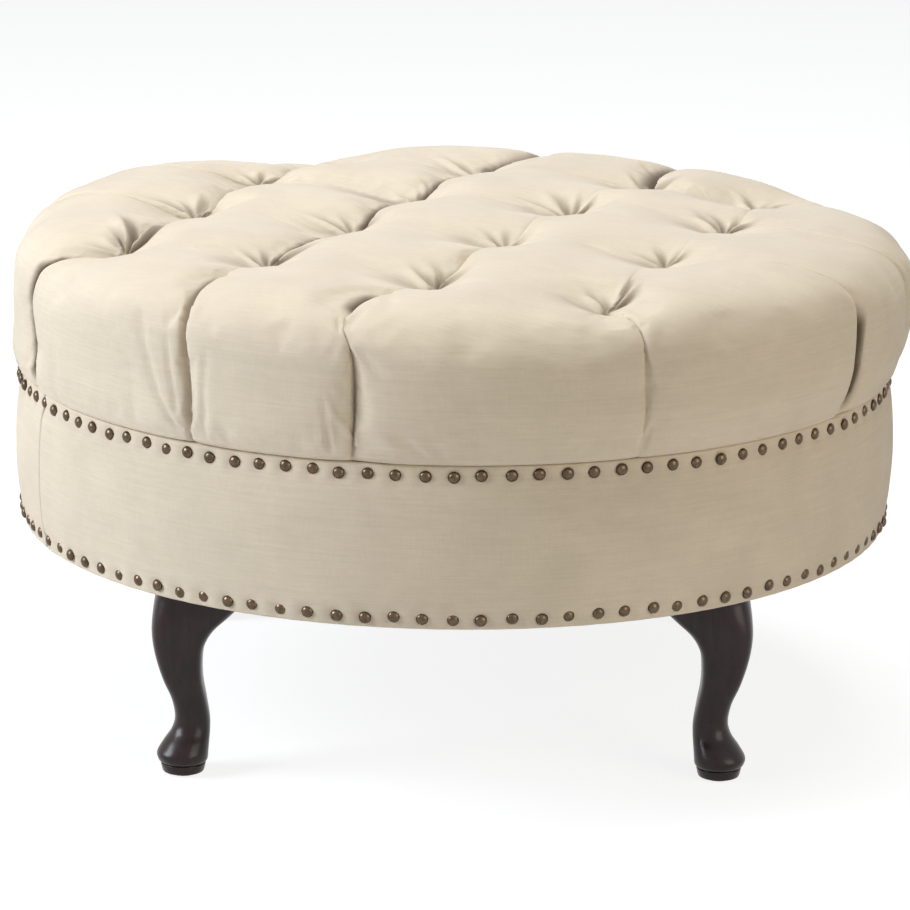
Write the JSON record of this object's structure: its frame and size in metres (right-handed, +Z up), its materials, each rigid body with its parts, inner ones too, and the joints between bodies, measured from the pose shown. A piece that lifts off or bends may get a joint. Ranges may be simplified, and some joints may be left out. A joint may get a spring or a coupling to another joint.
{
  "type": "tufted tuffet",
  "caption": "Round upholstered tuffet: deep-tufted cushion over a straight nail-trimmed skirt drum, on carved cabriole legs. A low seat or footrest.",
  "frame": {"origin": "on the floor under the middle of the round seat", "axes": "+Z up, -Y towards the front, +X to the right seen from the front"},
  "size_m": [0.8488, 0.8488, 0.4868],
  "materials": {
    "velvet": "brushed woven velvet, matt, cream",
    "foam": "open-cell upholstery foam",
    "wadding": "polyester wadding",
    "cambric": "black non-woven dust cloth",
    "twine": "waxed tufting twine",
    "plywood": "raw birch plywood",
    "pine": "raw planed pine",
    "hardboard": "raw hardboard",
    "espresso_wood": "dark espresso stain, semi-gloss lacquer",
    "zinc": "zinc plated",
    "brass": "antique brass, worn",
    "nylon": "moulded nylon"
  },
  "bodies": {
    "root": {"cushion_cover": "velvet", "skirt_cover": "velvet", "cushion_foam": "foam", "seat_board": "plywood", "top_ring": "plywood", "bottom_ring": "plywood", "drum_wall": "hardboard", "skirt_batting": "wadding", "dust_cloth": "cambric", "tuft_tie_1": "twine", "tuft_tie_2": "twine", "tuft_tie_3": "twine", "tuft_tie_4": "twine", "tuft_tie_5": "twine", "tuft_tie_6": "twine", "tuft_tie_7": "twine", "tuft_tie_8": "twine", "tuft_tie_9": "twine", "tuft_tie_10": "twine", "tuft_tie_11": "twine", "tuft_tie_12": "twine", "tuft_tie_13": "twine", "tuft_tie_14": "twine", "tuft_tie_15": "twine", "tuft_tie_16": "twine", "deck_screw_1": "zinc", "deck_screw_2": "zinc", "deck_screw_3": "zinc", "deck_screw_4": "zinc", "deck_screw_5": "zinc", "deck_screw_6": "zinc", "deck_screw_7": "zinc", "deck_screw_8": "zinc", "hanger_bolt_front_left": "zinc", "hanger_bolt_front_right": "zinc", "hanger_bolt_back_left": "zinc", "hanger_bolt_back_right": "zinc", "leg_nut_front_left": "zinc", "leg_nut_front_right": "zinc", "leg_nut_back_left": "zinc", "leg_nut_back_right": "zinc", "post_1": "pine", "post_2": "pine", "post_3": "pine", "post_4": "pine", "post_5": "pine", "post_6": "pine", "post_7": "pine", "post_8": "pine", "leg_front_left": "espresso_wood", "leg_front_right": "espresso_wood", "leg_back_left": "espresso_wood", "leg_back_right": "espresso_wood", "glide_front_left": "nylon", "glide_front_right": "nylon", "glide_back_left": "nylon", "glide_back_right": "nylon"}
  },
  "joints": []
}
